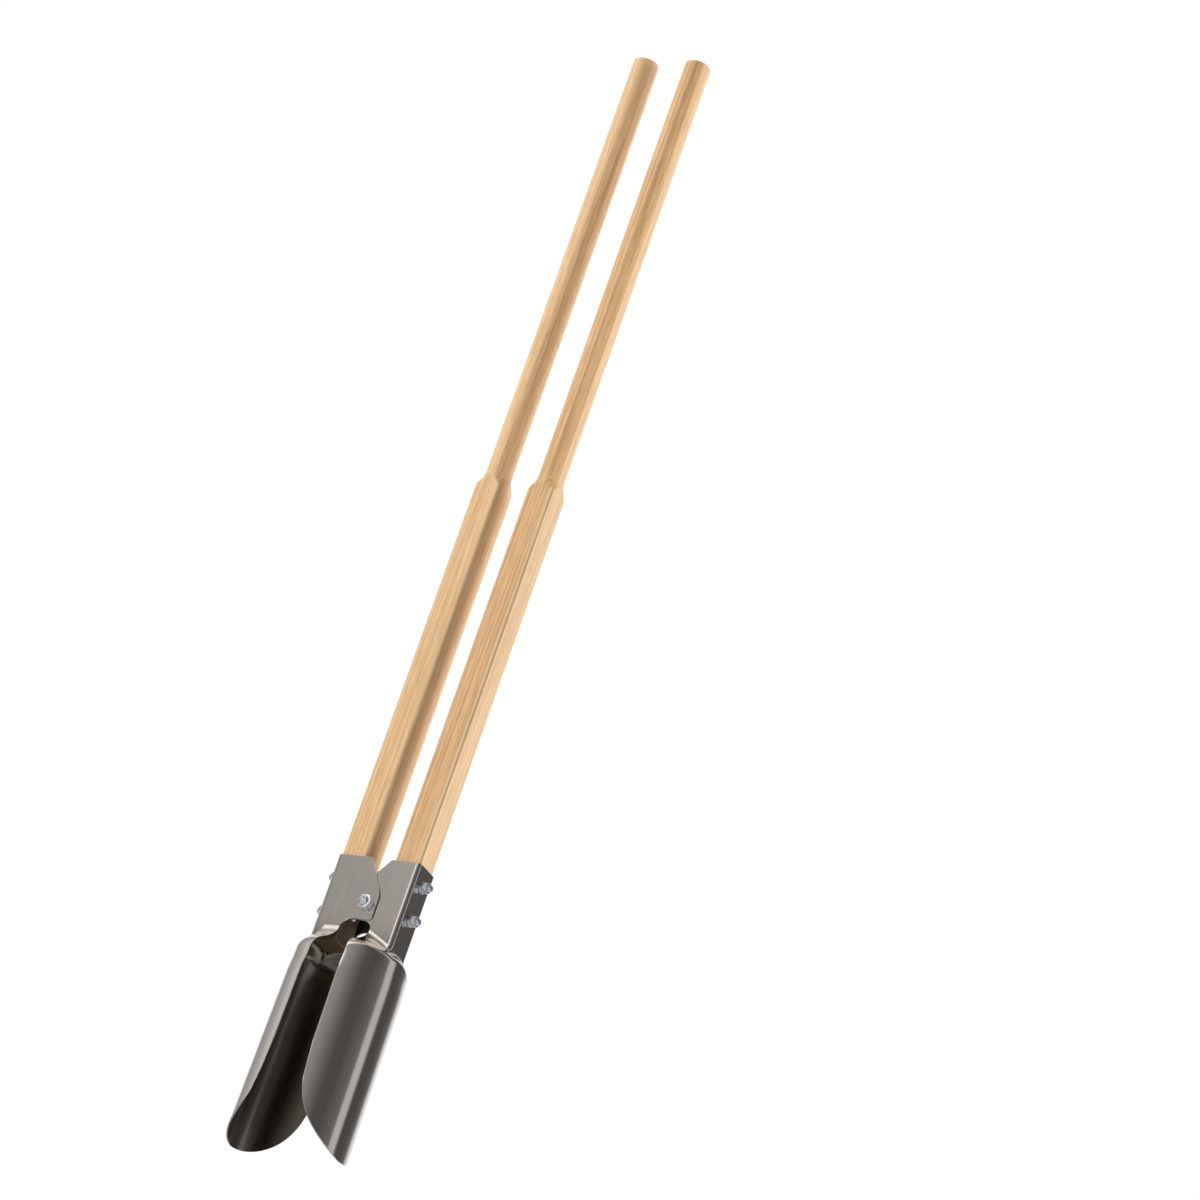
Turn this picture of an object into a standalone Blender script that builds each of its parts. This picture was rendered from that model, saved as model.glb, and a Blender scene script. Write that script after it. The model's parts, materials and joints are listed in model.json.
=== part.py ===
"""Post hole digger: two hardwood handles, two pressed steel heads and one pivot bolt.

Metres, +Z up along the handles, left handle at -X, front at -Y.
The origin lies midway between the handles, level with the points of the blades.
The two halves are the same design: the left half is the right half turned half a turn about Z.
Only the pivot bolt, which crosses both halves' ears, stands a little to the right of the middle.
Each half hangs on an empty on the pivot axis, and is modelled in a frame of its own under it,
whose origin is the object's and whose +X points away from the other half.
"""

import math

import bmesh
import bpy

# Overall sizes
OVERALL_HEIGHT = 1.480
HANDLE_LENGTH = 1.219
HANDLE_SPACING = 0.0712
PIVOT_HEIGHT = 0.3102
PIVOT_X = 0.0062
GAP = 0.0003

# Handle
SQUARE_WIDTH = 0.0355
SQUARE_CHAMFER = 0.0035
ROUND_RADIUS = 0.0160
SQUARE_TOP = 0.872
NECK_LENGTH = 0.024
NECK_CORNER_RADIUS = 0.0230
NECK_POWER = 2.35
END_ROUNDING = 0.003

# Pressed steel head
SHEET = 0.0020
SOCKET_TOP = 0.3697
FOLD_RADIUS = 0.0043
THROAT_EDGE = 0.0195
SHOULDER_TOP = 0.2800
FLANGE_SHOULDER_TOP = 0.2605
SHOULDER_BOTTOM = 0.2445
SHOULDER_LEAN = 0.0030
PLATE_SHOULDER_DROP = 0.0042
PLATE_DROP_FRACTION = 0.36
RIM_SHOULDER_DROP = 0.0033
RIM_SHOULDER_POWER = 6
TOP_BEND_SHARE = 0.55
BOTTOM_BEND_SHARE = 0.40
RIDGE_SWELL = 0.07
RIDGE_SWELL_REACH = 0.030
OUTER_RAMP_LENGTH = 0.010
NOTCH_WIDTH = 0.0160
NOTCH_HEIGHT = 0.0105
MOUTH_CORNER_RADIUS = 0.004

# The ears of the outer and of the inner plate: the free edge starts at the mouth's corner,
# slopes back towards the other half, and ends in a straight edge at the ear's reach.
# The inner ear's toe is round, so that it turns clear of the other half's handle.
OUTER_EAR = {"mouth": 0.0080, "slope": math.radians(30.0), "reach": 0.0182,
             "back_radius": 0.030, "toe_radius": 0.004}
INNER_EAR = {"mouth": 0.0170, "slope": math.radians(38.0), "reach": 0.0165,
             "back_radius": 0.014, "toe_radius": 0.011}

# Blade
BLADE_RADIUS = 0.0622
BLADE_HALF_ANGLE = math.radians(73.6)
BLADE_TIP_X = 0.0715
BLADE_TILT = math.radians(1.08)
CUTTING_EDGE_HEIGHT = 0.115
CUTTING_EDGE_POINT_POWER = 1.8
CUTTING_EDGE_SIDE_POWER = 0.345

# Pivot
PIVOT_BOLT_RADIUS = 0.0050
PIVOT_HEX_WIDTH = 0.0160
PIVOT_HEAD_HEIGHT = 0.0064
PIVOT_NUT_HEIGHT = 0.0084
PIVOT_BOLT_END = 0.0030
SPACER_RADIUS = 0.0066

# Handle bolts
HANDLE_BOLT_HEIGHTS = {"upper": 0.3476, "lower": 0.3040}
HANDLE_BOLT_RADIUS = 0.0040
HANDLE_BOLT_END = 0.0040
CARRIAGE_HEAD_RADIUS = 0.0090
CARRIAGE_HEAD_HEIGHT = 0.0042
CARRIAGE_NECK_LENGTH = 0.0045
HANDLE_NUT_WIDTH = 0.0130
HANDLE_NUT_HEIGHT = 0.0065
LOCK_WASHER_RADIUS = 0.0074
LOCK_WASHER_THICKNESS = 0.0020
LOCK_WASHER_SPLIT = math.radians(10.0)

# Shapes that all bolts and nuts share
CROWN_SHARE = 0.475
CROWN_SLOPE = math.tan(math.radians(30.0))
THREAD_LEAD_SHARE = 0.15
SHANK_RELIEF = 0.00003

# Fineness of round shapes
ROUND_STEPS = 24
HOLE_STEPS = 16
FLANGE_STEPS = 4
FOLD_STEPS = 4
PLATE_STEPS = 8
SHOULDER_ROWS = 8
BLADE_ROWS = 7
BLADE_ROW_POWER = 1.5
NOTCH_STEPS = 6
NECK_ROWS = 8
END_ROWS = 4
DOME_ROWS = 4
WASHER_STEPS = 20

# Worked out from the sizes above
HALF_WIDTH = SQUARE_WIDTH / 2
SEAT_HALF_WIDTH = HALF_WIDTH - GAP
HANDLE_X = HANDLE_SPACING / 2
NEST_OFFSET = (SHEET + GAP) / 2
PLATE_MID = HALF_WIDTH + SHEET / 2
FLANGE_MID = HANDLE_X + HALF_WIDTH + SHEET / 2
FLANGE_FACE = FLANGE_MID + SHEET / 2
INNER_PLATE_FACE = HALF_WIDTH - NEST_OFFSET
OUTER_PLATE_FACE = HALF_WIDTH + NEST_OFFSET + SHEET
EAR_BOTTOM = SHOULDER_TOP + NOTCH_HEIGHT
SHARP_ANGLE = math.radians(30.0)


def clear_scene():
    for item in list(bpy.data.objects):
        bpy.data.objects.remove(item, do_unlink=True)


def new_material(name, colour, roughness, metallic):
    material = bpy.data.materials.new(name)
    material.use_nodes = True
    shader = material.node_tree.nodes["Principled BSDF"]
    shader.inputs["Base Color"].default_value = (*colour, 1.0)
    shader.inputs["Roughness"].default_value = roughness
    shader.inputs["Metallic"].default_value = metallic
    return material


def varnished_wood():
    return new_material("varnished_wood", (0.74, 0.50, 0.27), 0.45, 0.0)


def lacquered_steel():
    return new_material("lacquered_steel", (0.29, 0.26, 0.23), 0.28, 1.0)


def zinc_plate():
    return new_material("zinc_plate", (0.72, 0.75, 0.80), 0.30, 1.0)


def new_object(name, mesh, material, parent, location=(0.0, 0.0, 0.0), rotation=(0.0, 0.0, 0.0)):
    item = bpy.data.objects.new(name, mesh)
    item.data.materials.append(material)
    item.parent = parent
    item.location = location
    item.rotation_euler = rotation
    bpy.context.scene.collection.objects.link(item)
    return item


def new_empty(name, parent, location, turn=0.0):
    empty = bpy.data.objects.new(name, None)
    empty.parent = parent
    empty.location = location
    empty.rotation_euler = (0.0, 0.0, turn)
    bpy.context.scene.collection.objects.link(empty)
    return empty


def half_frames(side, turn):
    """The empty on the pivot axis that carries one half, and the half's own frame under it."""
    pivot = new_empty(f"{side}_half", None, (PIVOT_X, 0.0, PIVOT_HEIGHT), turn)
    middle = (-PIVOT_X * math.cos(turn), 0.0, -PIVOT_HEIGHT)
    return pivot, new_empty(f"{side}_middle", pivot, middle)


def finish_mesh(name, shape):
    bmesh.ops.recalc_face_normals(shape, faces=shape.faces)
    mesh = bpy.data.meshes.new(name)
    shape.to_mesh(mesh)
    shape.free()
    mesh.shade_smooth()
    mesh.set_sharp_from_angle(angle=SHARP_ANGLE)
    return mesh


def ring_mesh(name, rings, closed=False):
    """Joins equal rings of points; open stacks are capped, closed ones go round a hole."""
    shape = bmesh.new()
    loops = [[shape.verts.new(point) for point in ring] for ring in rings]
    pairs = list(zip(loops, loops[1:]))
    if closed:
        pairs.append((loops[-1], loops[0]))
    for lower, upper in pairs:
        for index in range(len(lower)):
            follower = (index + 1) % len(lower)
            shape.faces.new((lower[index], lower[follower], upper[follower], upper[index]))
    if not closed:
        shape.faces.new(reversed(loops[0]))
        shape.faces.new(loops[-1])
    return finish_mesh(name, shape)


def ring(radius_at, height_at, angles):
    """Points round the Z axis; radius and height may depend on the angle."""
    points = []
    for angle in angles:
        radius = radius_at(angle)
        points.append((radius * math.cos(angle), radius * math.sin(angle), height_at(angle)))
    return points


def circle_ring(radius, height, angles):
    return ring(lambda angle: radius, lambda angle: height, angles)


def even_angles(count):
    return [2 * math.pi * index / count for index in range(count)]


def polygon_radius(angle, apothem, sides):
    """Distance from the centre to the side of a regular polygon."""
    sector = 2 * math.pi / sides
    return apothem / math.cos((angle + sector / 2) % sector - sector / 2)


def chamfered_square_radius(angle, half_width, chamfer):
    """Distance from the centre to the outline of a square whose corners are cut off."""
    corner_flat = (2 * half_width - chamfer) / math.sqrt(2)
    square = polygon_radius(angle, half_width, 4)
    corner = polygon_radius(angle - math.pi / 4, corner_flat, 4)
    return min(square, corner)


# Handles

def handle_angles():
    """Directions that hit the four flats, the eight chamfer edges and the chamfers' middles."""
    chamfer_edge = math.atan2(HALF_WIDTH - SQUARE_CHAMFER, HALF_WIDTH)
    eighth = [chamfer_edge * index / 3 for index in range(4)]
    quarter = eighth + [math.pi / 4] + [math.pi / 2 - angle for angle in reversed(eighth[1:])]
    return [side * math.pi / 2 + angle for side in range(4) for angle in quarter]


def neck_radius(rise):
    """Turned profile from the square's corners, at rise 0, down to the round grip, at rise 1."""
    return ROUND_RADIUS + (NECK_CORNER_RADIUS - ROUND_RADIUS) * (1 - rise) ** NECK_POWER


def handle_mesh():
    angles = handle_angles()
    bottom = OVERALL_HEIGHT - HANDLE_LENGTH
    seat_top = SOCKET_TOP + GAP
    rings = []
    for height, half_width in ((bottom, SEAT_HALF_WIDTH), (seat_top, SEAT_HALF_WIDTH),
                               (seat_top, HALF_WIDTH), (SQUARE_TOP, HALF_WIDTH)):
        outline = lambda angle: chamfered_square_radius(angle, half_width, SQUARE_CHAMFER)
        rings.append(ring(outline, lambda angle: height, angles))
    for row in range(1, NECK_ROWS + 1):
        rise = row / NECK_ROWS
        turned = neck_radius(rise)
        outline = lambda angle: min(chamfered_square_radius(angle, HALF_WIDTH, SQUARE_CHAMFER),
                                    turned)
        rings.append(ring(outline, lambda angle: SQUARE_TOP + rise * NECK_LENGTH, angles))
    for row in range(END_ROWS + 1):
        angle = math.pi / 2 * row / END_ROWS
        radius = ROUND_RADIUS - END_ROUNDING * (1 - math.cos(angle))
        height = OVERALL_HEIGHT - END_ROUNDING * (1 - math.sin(angle))
        rings.append(circle_ring(radius, height, angles))
    return ring_mesh("handle", rings)


def cutter(name, mesh, parent, location, rotation):
    tool = bpy.data.objects.new(name, mesh)
    tool.parent = parent
    tool.location = location
    tool.rotation_euler = rotation
    tool.hide_render = True
    tool.display_type = "WIRE"
    bpy.context.scene.collection.objects.link(tool)
    return tool


def cut(item, tool):
    modifier = item.modifiers.new(tool.name, "BOOLEAN")
    modifier.operation = "DIFFERENCE"
    modifier.solver = "EXACT"
    modifier.object = tool


def bar_mesh(name, radius, length, angles):
    return ring_mesh(name, [circle_ring(radius, 0.0, angles), circle_ring(radius, length, angles)])


ALONG_X = (0.0, math.pi / 2, 0.0)
TOWARDS_FRONT = (math.pi / 2, 0.0, 0.0)


def add_handle(side, frame, material):
    handle = new_object(f"{side}_handle", handle_mesh(), material, frame,
                        (HANDLE_X, NEST_OFFSET, 0.0))
    hole = bar_mesh("bolt_hole", HANDLE_BOLT_RADIUS + GAP, 2 * SQUARE_WIDTH,
                    even_angles(HOLE_STEPS))
    neck_width = (HANDLE_BOLT_RADIUS + GAP) * math.sqrt(2)
    square = [math.pi / 4 + turn * math.pi / 2 for turn in range(4)]
    neck = bar_mesh("neck_hole", neck_width, SQUARE_WIDTH / 2 + CARRIAGE_NECK_LENGTH, square)
    for name, height in HANDLE_BOLT_HEIGHTS.items():
        where = (HANDLE_X - SQUARE_WIDTH, NEST_OFFSET, height)
        cut(handle, cutter(f"{side}_{name}_hole", hole, frame, where, ALONG_X))
        cut(handle, cutter(f"{side}_{name}_neck", neck, frame, where, ALONG_X))


# Heads

def tip_rise(fraction):
    """Height of the cutting edge above the blade's point, from the point (0) to the rim (1)."""
    hollow = (1 - abs(fraction) ** CUTTING_EDGE_POINT_POWER) ** CUTTING_EDGE_SIDE_POWER
    return CUTTING_EDGE_HEIGHT * (1 - hollow)


def socket_point(distance):
    """Point of the channel's middle surface, by its distance along the sheet from the flange."""
    side = math.copysign(1.0, distance)
    run = abs(distance)
    flat = PLATE_MID - FOLD_RADIUS
    fold = FOLD_RADIUS * math.pi / 2
    if run <= flat:
        return FLANGE_MID, side * run
    if run <= flat + fold:
        angle = (run - flat) / FOLD_RADIUS
        x = FLANGE_MID - FOLD_RADIUS * (1 - math.cos(angle))
        return x, side * (flat + FOLD_RADIUS * math.sin(angle))
    return FLANGE_MID - FOLD_RADIUS - (run - flat - fold), side * PLATE_MID


def column_distances():
    """Distances along the sheet of the mesh columns, from the flange's middle to the throat edge."""
    flat = PLATE_MID - FOLD_RADIUS
    fold = FOLD_RADIUS * math.pi / 2
    plate = FLANGE_MID - FOLD_RADIUS - THROAT_EDGE
    columns = [flat * step / FLANGE_STEPS for step in range(FLANGE_STEPS)]
    columns += [flat + fold * step / FOLD_STEPS for step in range(FOLD_STEPS)]
    columns += [flat + fold + plate * step / PLATE_STEPS for step in range(PLATE_STEPS + 1)]
    return [-distance for distance in reversed(columns[1:])] + columns


def blade_point(fraction, height):
    angle = fraction * BLADE_HALF_ANGLE
    centre = BLADE_TIP_X - BLADE_RADIUS - height * math.tan(BLADE_TILT)
    return centre + BLADE_RADIUS * math.cos(angle), BLADE_RADIUS * math.sin(angle)


def ramp(value):
    """Straight ramp from 0 to 1 whose two ends are rounded off by parabolas."""
    first = TOP_BEND_SHARE
    last = BOTTOM_BEND_SHARE
    slope = 1 / (1 - first / 2 - last / 2)
    if value < first:
        return slope * value * value / (2 * first)
    if value > 1 - last:
        return 1 - slope * (1 - value) * (1 - value) / (2 * last)
    return slope * (value - first / 2)


def shoulder_top(distance):
    """The sheet starts to swell lower down on the flange than on the plates.

    The height changes just past the outer plate's fold, but evenly across the inner plate.
    """
    flat = PLATE_MID - FOLD_RADIUS
    fold = FOLD_RADIUS * math.pi / 2
    if distance > 0:
        share = ramp(min(1.0, max(0.0, (distance - flat - fold) / OUTER_RAMP_LENGTH)))
    else:
        share = max(0.0, -distance - flat) / (FLANGE_MID - FOLD_RADIUS - THROAT_EDGE + fold)
    return FLANGE_SHOULDER_TOP + (SHOULDER_TOP - FLANGE_SHOULDER_TOP) * share


def shoulder_bottom(fraction):
    """Height of the ridge where the shoulder meets the blade.

    It lies lower under the plates than under the flange, and droops a little near the rims.
    """
    plate = PLATE_SHOULDER_DROP * ramp(min(1.0, abs(fraction) / PLATE_DROP_FRACTION))
    droop = RIM_SHOULDER_DROP * abs(fraction) ** RIM_SHOULDER_POWER
    return SHOULDER_BOTTOM - SHOULDER_LEAN * fraction - plate - droop


def swell(offset):
    """Smooth bell, 1 at offset 0 and 0 from offset 1 on, by which the ridge is softened."""
    return max(0.0, 1 - offset * offset) ** 2


def head_rows(distance, longest):
    """Points down one column of the sheet: socket, shoulder, then blade."""
    fraction = distance / longest
    start = shoulder_top(distance)
    end = shoulder_bottom(fraction)
    socket_x, socket_y = socket_point(distance)
    heights = [start + (end - start) * row / SHOULDER_ROWS for row in range(SHOULDER_ROWS)]
    lowest = tip_rise(fraction)
    heights += [end + (lowest - end) * (row / BLADE_ROWS) ** BLADE_ROW_POWER
                for row in range(BLADE_ROWS + 1)]
    points = [(socket_x, socket_y, SOCKET_TOP)]
    for height in heights:
        share = ramp(min(1.0, (start - height) / (start - end)))
        share *= 1 - RIDGE_SWELL * swell((height - end) / RIDGE_SWELL_REACH)
        blade_x, blade_y = blade_point(fraction, height)
        x = socket_x + (blade_x - socket_x) * share
        y = socket_y + (blade_y - socket_y) * share
        points.append((x, y, height))
    return points


def round_corner(before, corner, after, radius, steps=6):
    """Points of the arc that rounds one corner of a flat outline."""
    towards_before = math.atan2(before[1] - corner[1], before[0] - corner[0])
    towards_after = math.atan2(after[1] - corner[1], after[0] - corner[0])
    opening = (towards_after - towards_before + math.pi) % (2 * math.pi) - math.pi
    half = opening / 2
    reach = radius / abs(math.tan(half))
    middle = towards_before + half
    depth = radius / abs(math.sin(half))
    centre = (corner[0] + depth * math.cos(middle), corner[1] + depth * math.sin(middle))
    start = math.atan2(corner[1] + reach * math.sin(towards_before) - centre[1],
                       corner[0] + reach * math.cos(towards_before) - centre[0])
    end = math.atan2(corner[1] + reach * math.sin(towards_after) - centre[1],
                     corner[0] + reach * math.cos(towards_after) - centre[0])
    sweep = (end - start + math.pi) % (2 * math.pi) - math.pi
    return [(centre[0] + radius * math.cos(start + sweep * step / steps),
             centre[1] + radius * math.sin(start + sweep * step / steps))
            for step in range(steps + 1)]


def ear_outline(ear):
    """Free edge of a plate, from its top down round the ear and the notch to the throat."""
    top = (ear["mouth"], SOCKET_TOP)
    drop = (ear["mouth"] + ear["reach"]) / math.tan(ear["slope"])
    back = (-ear["reach"], SOCKET_TOP - drop)
    bottom = (-ear["reach"], EAR_BOTTOM)
    notch = (THROAT_EDGE - NOTCH_WIDTH, EAR_BOTTOM)
    outline = round_corner((THROAT_EDGE, SOCKET_TOP), top, back, MOUTH_CORNER_RADIUS)
    outline += round_corner(top, back, bottom, ear["back_radius"])
    outline += round_corner(back, bottom, notch, ear["toe_radius"])
    for step in range(NOTCH_STEPS):
        angle = math.pi / 2 * (1 - step / NOTCH_STEPS)
        x = notch[0] + NOTCH_WIDTH * math.cos(angle)
        outline.append((x, SHOULDER_TOP + NOTCH_HEIGHT * math.sin(angle)))
    return outline


def head_mesh():
    """Middle surface of one pressed head; a Solidify modifier gives the sheet's thickness."""
    shape = bmesh.new()
    distances = column_distances()
    columns = []
    for distance in distances:
        points = head_rows(distance, distances[-1])
        columns.append([shape.verts.new(point) for point in points])
    for left, right in zip(columns, columns[1:]):
        for row in range(len(left) - 1):
            shape.faces.new((left[row], left[row + 1], right[row + 1], right[row]))
    for column, plate_y, ear in ((columns[0], -PLATE_MID, INNER_EAR),
                                 (columns[-1], PLATE_MID, OUTER_EAR)):
        edge = [shape.verts.new((x, plate_y, height)) for x, height in ear_outline(ear)]
        shape.faces.new([column[0]] + edge + [column[1]])
    bmesh.ops.recalc_face_normals(shape, faces=shape.faces)
    mesh = bpy.data.meshes.new("head")
    shape.to_mesh(mesh)
    shape.free()
    mesh.shade_smooth()
    mesh.set_sharp_from_angle(angle=SHARP_ANGLE)
    return mesh


def add_head(side, pivot, frame, material):
    head = new_object(f"{side}_head", head_mesh(), material, frame, (0.0, NEST_OFFSET, 0.0))
    thicken = head.modifiers.new("sheet", "SOLIDIFY")
    thicken.thickness = SHEET
    thicken.offset = 0.0
    thicken.use_even_offset = True
    pivot_hole = bar_mesh("pivot_hole", PIVOT_BOLT_RADIUS + GAP, 4 * SQUARE_WIDTH,
                          even_angles(ROUND_STEPS))
    where = (0.0, 2 * SQUARE_WIDTH, 0.0)
    cut(head, cutter(f"{side}_pivot_hole", pivot_hole, pivot, where, TOWARDS_FRONT))
    bolt_hole = bar_mesh("flange_hole", HANDLE_BOLT_RADIUS + GAP, SQUARE_WIDTH,
                         even_angles(HOLE_STEPS))
    for name, height in HANDLE_BOLT_HEIGHTS.items():
        where = (HANDLE_X, NEST_OFFSET, height)
        cut(head, cutter(f"{side}_{name}_flange_hole", bolt_hole, frame, where, ALONG_X))


# Fasteners: each is modelled along +Z and then turned onto its axis

def hex_outline(width):
    """A hexagon with a corner at angle zero."""
    return lambda angle: polygon_radius(angle + math.pi / 6, width / 2, 6)


def hex_crown(width, height):
    """Height of the edge where a hexagon's side meets its turned crown."""
    outline = hex_outline(width)
    return lambda angle: height - (outline(angle) - CROWN_SHARE * width) * CROWN_SLOPE


def nut_mesh(name, width, height, bore):
    angles = even_angles(ROUND_STEPS)
    rings = [
        circle_ring(bore, 0.0, angles),
        ring(hex_outline(width), lambda angle: 0.0, angles),
        ring(hex_outline(width), hex_crown(width, height), angles),
        circle_ring(CROWN_SHARE * width, height, angles),
        circle_ring(bore, height, angles),
    ]
    return ring_mesh(name, rings, closed=True)


def shank_rings(radius, start, end, angles):
    lead = THREAD_LEAD_SHARE * radius
    return [circle_ring(radius, start, angles), circle_ring(radius, end - lead, angles),
            circle_ring(radius - lead, end, angles)]


def hex_bolt_mesh(name, width, head_height, radius, length):
    """Head from -head_height to 0, shank from 0 to length."""
    angles = even_angles(ROUND_STEPS)
    crown = hex_crown(width, head_height)
    rings = [
        circle_ring(CROWN_SHARE * width, -head_height, angles),
        ring(hex_outline(width), lambda angle: -crown(angle), angles),
        ring(hex_outline(width), lambda angle: 0.0, angles),
    ]
    return ring_mesh(name, rings + shank_rings(radius, 0.0, length, angles))


def carriage_bolt_mesh(name, length):
    """Domed head from -CARRIAGE_HEAD_HEIGHT to 0, square neck, then the shank."""
    angles = even_angles(ROUND_STEPS)
    rings = []
    for row in range(1, DOME_ROWS + 1):
        angle = math.pi / 2 * row / DOME_ROWS
        radius = CARRIAGE_HEAD_RADIUS * math.sin(angle)
        rings.append(circle_ring(radius, -CARRIAGE_HEAD_HEIGHT * math.cos(angle), angles))
    square = lambda angle: polygon_radius(angle, HANDLE_BOLT_RADIUS, 4)
    rings.append(ring(square, lambda angle: 0.0, angles))
    rings.append(ring(square, lambda angle: CARRIAGE_NECK_LENGTH, angles))
    shank = shank_rings(HANDLE_BOLT_RADIUS - SHANK_RELIEF, CARRIAGE_NECK_LENGTH, length, angles)
    return ring_mesh(name, rings + shank)


def lock_washer_mesh():
    """Flat ring with a narrow split, made by carrying its section round the axis."""
    bore = HANDLE_BOLT_RADIUS + GAP
    section = [(bore, 0.0), (LOCK_WASHER_RADIUS, 0.0),
               (LOCK_WASHER_RADIUS, LOCK_WASHER_THICKNESS), (bore, LOCK_WASHER_THICKNESS)]
    rings = []
    for step in range(WASHER_STEPS + 1):
        angle = LOCK_WASHER_SPLIT / 2 + (2 * math.pi - LOCK_WASHER_SPLIT) * step / WASHER_STEPS
        rings.append([(radius * math.cos(angle), radius * math.sin(angle), height)
                      for radius, height in section])
    return ring_mesh("lock_washer", rings)


def add_handle_bolts(side, frame, material):
    """Carriage bolts pushed out through the handle and the flange, with washers and nuts."""
    head_seat = HANDLE_X - SEAT_HALF_WIDTH - GAP
    washer_seat = FLANGE_FACE + GAP
    nut_seat = washer_seat + LOCK_WASHER_THICKNESS + GAP
    length = nut_seat + HANDLE_NUT_HEIGHT + HANDLE_BOLT_END - head_seat
    bolt = carriage_bolt_mesh("carriage_bolt", length)
    washer = lock_washer_mesh()
    nut = nut_mesh("handle_nut", HANDLE_NUT_WIDTH, HANDLE_NUT_HEIGHT, HANDLE_BOLT_RADIUS + GAP)
    for name, height in HANDLE_BOLT_HEIGHTS.items():
        for piece, mesh, seat in (("carriage_bolt", bolt, head_seat),
                                  ("lock_washer", washer, washer_seat),
                                  ("nut", nut, nut_seat)):
            place = (seat, NEST_OFFSET, height)
            new_object(f"{side}_{name}_{piece}", mesh.copy(), material, frame, place, ALONG_X)


def add_pivot(pivot, material):
    """Bolt, spacer and nut, in the left half's frame, whose front faces +Y."""
    bolt_back = OUTER_PLATE_FACE + GAP
    length = 2 * bolt_back + PIVOT_NUT_HEIGHT + PIVOT_BOLT_END
    towards_nut = (-math.pi / 2, 0.0, 0.0)
    bolt = hex_bolt_mesh("pivot_bolt", PIVOT_HEX_WIDTH, PIVOT_HEAD_HEIGHT, PIVOT_BOLT_RADIUS,
                         length)
    new_object("pivot_bolt", bolt, material, pivot, (0.0, -bolt_back, 0.0), towards_nut)
    bore = PIVOT_BOLT_RADIUS + GAP
    nut = nut_mesh("pivot_nut", PIVOT_HEX_WIDTH, PIVOT_NUT_HEIGHT, bore)
    new_object("pivot_nut", nut, material, pivot, (0.0, bolt_back, 0.0), towards_nut)
    spacer_half = INNER_PLATE_FACE - GAP
    angles = even_angles(ROUND_STEPS)
    spacer = ring_mesh("pivot_spacer", [
        circle_ring(bore, -spacer_half, angles),
        circle_ring(SPACER_RADIUS, -spacer_half, angles),
        circle_ring(SPACER_RADIUS, spacer_half, angles),
        circle_ring(bore, spacer_half, angles),
    ], closed=True)
    new_object("pivot_spacer", spacer, material, pivot, (0.0, 0.0, 0.0), towards_nut)


def main():
    clear_scene()
    wood = varnished_wood()
    steel = lacquered_steel()
    zinc = zinc_plate()
    pivots = {}
    for side, turn in (("left", math.pi), ("right", 0.0)):
        pivot, frame = half_frames(side, turn)
        add_handle(side, frame, wood)
        add_head(side, pivot, frame, steel)
        add_handle_bolts(side, frame, zinc)
        pivots[side] = pivot
    add_pivot(pivots["left"], zinc)


main()
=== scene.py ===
"""Looks of the post hole digger: varnished wood handles, lacquered steel heads, zinc hardware.

Metres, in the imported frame: +Z up along the handles, left handle at -X, front at -Y.
Every CAD node is replaced by a finer piece of the same size, built here in mesh code.
"""

import json
import math

import bmesh
import bpy
from mathutils import Matrix, Vector


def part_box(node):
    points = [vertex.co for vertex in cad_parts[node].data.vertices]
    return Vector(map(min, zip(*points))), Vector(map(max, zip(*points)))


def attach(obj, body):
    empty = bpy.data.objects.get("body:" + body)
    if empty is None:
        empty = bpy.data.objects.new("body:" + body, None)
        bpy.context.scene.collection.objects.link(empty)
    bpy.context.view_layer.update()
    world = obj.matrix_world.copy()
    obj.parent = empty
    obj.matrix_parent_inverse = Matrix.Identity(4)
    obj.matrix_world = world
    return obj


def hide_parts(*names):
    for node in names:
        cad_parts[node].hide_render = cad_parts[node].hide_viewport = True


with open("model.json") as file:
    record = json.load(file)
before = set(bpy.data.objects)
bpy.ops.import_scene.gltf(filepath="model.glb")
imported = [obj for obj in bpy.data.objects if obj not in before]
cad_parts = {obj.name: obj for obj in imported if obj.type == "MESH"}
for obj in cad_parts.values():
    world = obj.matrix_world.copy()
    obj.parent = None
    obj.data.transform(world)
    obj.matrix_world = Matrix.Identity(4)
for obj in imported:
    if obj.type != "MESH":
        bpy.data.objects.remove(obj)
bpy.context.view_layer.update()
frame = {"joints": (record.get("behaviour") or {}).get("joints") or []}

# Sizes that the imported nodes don't say themselves, the same as the CAD's
SHEET = 0.0020
GAP = 0.0003
SQUARE_CHAMFER = 0.0035
ROUND_RADIUS = 0.0160
SQUARE_TOP = 0.872
NECK_LENGTH = 0.024
NECK_CORNER_RADIUS = 0.0230
NECK_POWER = 2.35
END_ROUNDING = 0.003
FOLD_RADIUS = 0.0043
THROAT_EDGE = 0.0195
SHOULDER_TOP = 0.2800
FLANGE_SHOULDER_TOP = 0.2605
SHOULDER_BOTTOM = 0.2445
SHOULDER_LEAN = 0.0030
PLATE_SHOULDER_DROP = 0.0042
PLATE_DROP_FRACTION = 0.36
RIM_SHOULDER_DROP = 0.0033
RIM_SHOULDER_POWER = 6
TOP_BEND_SHARE = 0.55
BOTTOM_BEND_SHARE = 0.40
RIDGE_SWELL = 0.07
RIDGE_SWELL_REACH = 0.030
OUTER_RAMP_LENGTH = 0.010
NOTCH_WIDTH = 0.0160
NOTCH_HEIGHT = 0.0105
MOUTH_CORNER_RADIUS = 0.004
OUTER_EAR = {"mouth": 0.0080, "slope": math.radians(30.0), "reach": 0.0182,
             "back_radius": 0.030, "toe_radius": 0.004}
INNER_EAR = {"mouth": 0.0170, "slope": math.radians(38.0), "reach": 0.0165,
             "back_radius": 0.014, "toe_radius": 0.011}
BLADE_RADIUS = 0.0622
BLADE_HALF_ANGLE = math.radians(73.6)
BLADE_TIP_X = 0.0715
BLADE_TILT = math.radians(1.08)
CUTTING_EDGE_HEIGHT = 0.115
CUTTING_EDGE_POINT_POWER = 1.8
CUTTING_EDGE_SIDE_POWER = 0.345
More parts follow.
